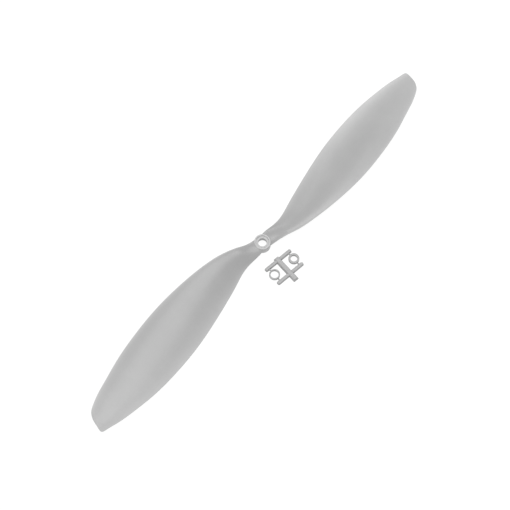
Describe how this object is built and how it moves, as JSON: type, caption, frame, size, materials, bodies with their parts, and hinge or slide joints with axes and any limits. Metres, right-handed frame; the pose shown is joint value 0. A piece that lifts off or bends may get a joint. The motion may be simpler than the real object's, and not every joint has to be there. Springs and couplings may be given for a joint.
{
  "type": "two-blade slow-flyer propeller with adapter rings",
  "caption": "Moulded reverse-rotation slow-flyer propeller with broad twisted blades and a bored hub, beside the sprue tree that carries its shaft adapter rings.",
  "frame": {"origin": "on the shaft axis, at the hub's rear face, which is also the plane that the propeller and the ring tree lie on", "axes": "+Z along the shaft axis towards the front of the propeller, +X along blade_a towards its tip"},
  "size_m": [0.3552, 0.0599, 0.0123],
  "materials": {
    "propeller_nylon": "satin light-grey glass-filled nylon",
    "tree_nylon": "satin light-grey glass-filled nylon",
    "ring_nylon": "satin light-grey glass-filled nylon"
  },
  "bodies": {
    "propeller": {"hub": "propeller_nylon", "blade_a": "propeller_nylon", "blade_b": "propeller_nylon"},
    "ring_tree": {"tree_runner": "tree_nylon", "tree_arm_near_5mm": "tree_nylon", "tree_arm_far_5mm": "tree_nylon", "tree_arm_near_6mm": "tree_nylon", "tree_arm_far_6mm": "tree_nylon", "tree_gate_near_5mm": "tree_nylon", "tree_gate_far_5mm": "tree_nylon", "tree_gate_near_6mm": "tree_nylon", "tree_gate_far_6mm": "tree_nylon"},
    "adapter_ring_5mm": {"ring_5mm": "ring_nylon"},
    "adapter_ring_6mm": {"ring_6mm": "ring_nylon"}
  },
  "joints": [
    {"name": "ring_tree_lift", "type": "slide", "parent": "propeller", "child": "ring_tree", "axis": [0, 0, 1], "range_m": [0, 0.03]},
    {"name": "ring_5mm_lift", "type": "slide", "parent": "ring_tree", "child": "adapter_ring_5mm", "axis": [0, 0, 1], "range_m": [0, 0.012]},
    {"name": "ring_6mm_lift", "type": "slide", "parent": "ring_tree", "child": "adapter_ring_6mm", "axis": [0, 0, 1], "range_m": [0, 0.012]}
  ]
}
